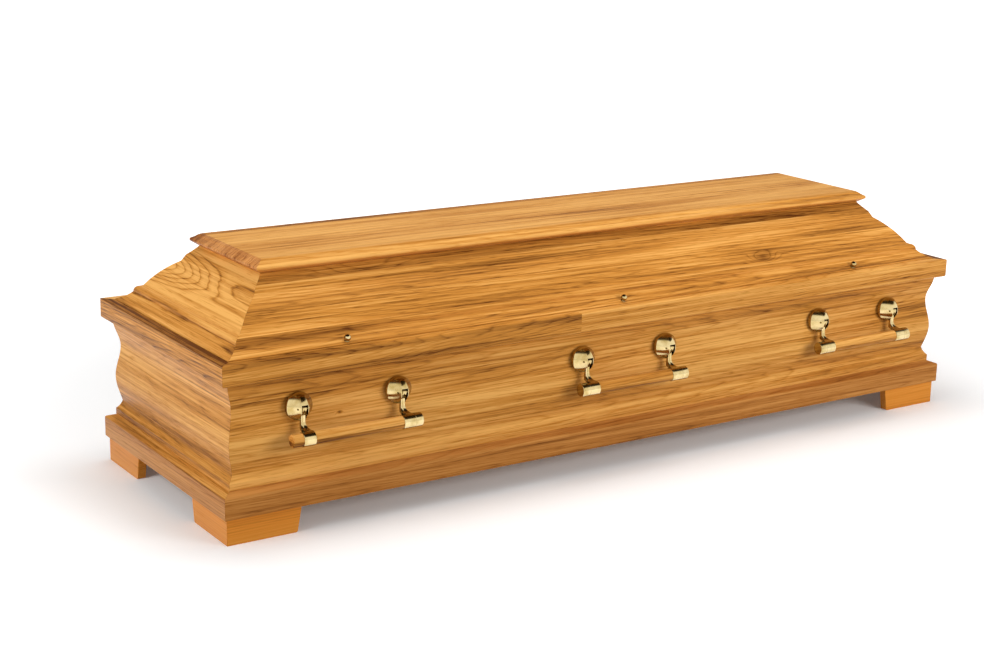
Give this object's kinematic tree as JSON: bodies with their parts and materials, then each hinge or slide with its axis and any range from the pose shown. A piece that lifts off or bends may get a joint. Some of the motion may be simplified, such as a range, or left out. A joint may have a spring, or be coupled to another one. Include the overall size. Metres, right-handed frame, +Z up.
{
  "type": "wooden coffin",
  "caption": "Long oak coffin with moulded walls, plinth and raised lid, standing on block feet, with brass swing handles and round wooden grip bars along both sides.",
  "frame": {"origin": "centre of the footprint, on the surface that the feet stand on", "axes": "+X along the length, -Y the front side, +Z up through the lid"},
  "size_m": [2.05, 0.7092, 0.5513],
  "materials": {
    "oak_wall": "satin lacquer",
    "oak_rim": "satin lacquer",
    "oak_plinth": "satin lacquer",
    "oak_lid": "satin lacquer",
    "oak_top": "satin lacquer",
    "oak_foot": "satin lacquer",
    "oak_rod": "satin lacquer",
    "oak_floor": "plain sanded",
    "brass": "polished and darkened"
  },
  "bodies": {
    "case": {"foot_front_left": "oak_foot", "foot_front_right": "oak_foot", "foot_back_right": "oak_foot", "foot_back_left": "oak_foot", "plinth_front": "oak_plinth", "plinth_right": "oak_plinth", "plinth_back": "oak_plinth", "plinth_left": "oak_plinth", "floor_board": "oak_floor", "wall_front": "oak_wall", "wall_right": "oak_wall", "wall_back": "oak_wall", "wall_left": "oak_wall", "rim_front": "oak_rim", "rim_right": "oak_rim", "rim_back": "oak_rim", "rim_left": "oak_rim", "lid_front": "oak_lid", "lid_right": "oak_lid", "lid_back": "oak_lid", "lid_left": "oak_lid", "lid_top_board": "oak_top", "lid_screw_front_left": "brass", "lid_screw_front_middle": "brass", "lid_screw_front_right": "brass", "lid_screw_back_left": "brass", "lid_screw_back_middle": "brass", "lid_screw_back_right": "brass", "rosette_front_left_a": "brass", "rosette_front_left_b": "brass", "rosette_front_middle_a": "brass", "rosette_front_middle_b": "brass", "rosette_front_right_a": "brass", "rosette_front_right_b": "brass", "rosette_back_left_a": "brass", "rosette_back_left_b": "brass", "rosette_back_middle_a": "brass", "rosette_back_middle_b": "brass", "rosette_back_right_a": "brass", "rosette_back_right_b": "brass"},
    "handle_front_left": {"arm_front_left_a": "brass", "arm_front_left_b": "brass", "rod_front_left": "oak_rod"},
    "handle_front_middle": {"arm_front_middle_a": "brass", "arm_front_middle_b": "brass", "rod_front_middle": "oak_rod"},
    "handle_front_right": {"arm_front_right_a": "brass", "arm_front_right_b": "brass", "rod_front_right": "oak_rod"},
    "handle_back_left": {"arm_back_left_a": "brass", "arm_back_left_b": "brass", "rod_back_left": "oak_rod"},
    "handle_back_middle": {"arm_back_middle_a": "brass", "arm_back_middle_b": "brass", "rod_back_middle": "oak_rod"},
    "handle_back_right": {"arm_back_right_a": "brass", "arm_back_right_b": "brass", "rod_back_right": "oak_rod"}
  },
  "joints": [
    {"name": "swing_front_left", "type": "hinge", "parent": "case", "child": "handle_front_left", "pos_m": [-0.725, -0.32261, 0.271], "axis": [-1, 0, 0], "range_deg": [0, 90]},
    {"name": "swing_front_middle", "type": "hinge", "parent": "case", "child": "handle_front_middle", "pos_m": [0, -0.32261, 0.271], "axis": [-1, 0, 0], "range_deg": [0, 90]},
    {"name": "swing_front_right", "type": "hinge", "parent": "case", "child": "handle_front_right", "pos_m": [0.725, -0.32261, 0.271], "axis": [-1, 0, 0], "range_deg": [0, 90]},
    {"name": "swing_back_left", "type": "hinge", "parent": "case", "child": "handle_back_left", "pos_m": [-0.725, 0.32261, 0.271], "axis": [1, 0, 0], "range_deg": [0, 90]},
    {"name": "swing_back_middle", "type": "hinge", "parent": "case", "child": "handle_back_middle", "pos_m": [0, 0.32261, 0.271], "axis": [1, 0, 0], "range_deg": [0, 90]},
    {"name": "swing_back_right", "type": "hinge", "parent": "case", "child": "handle_back_right", "pos_m": [0.725, 0.32261, 0.271], "axis": [1, 0, 0], "range_deg": [0, 90]}
  ]
}
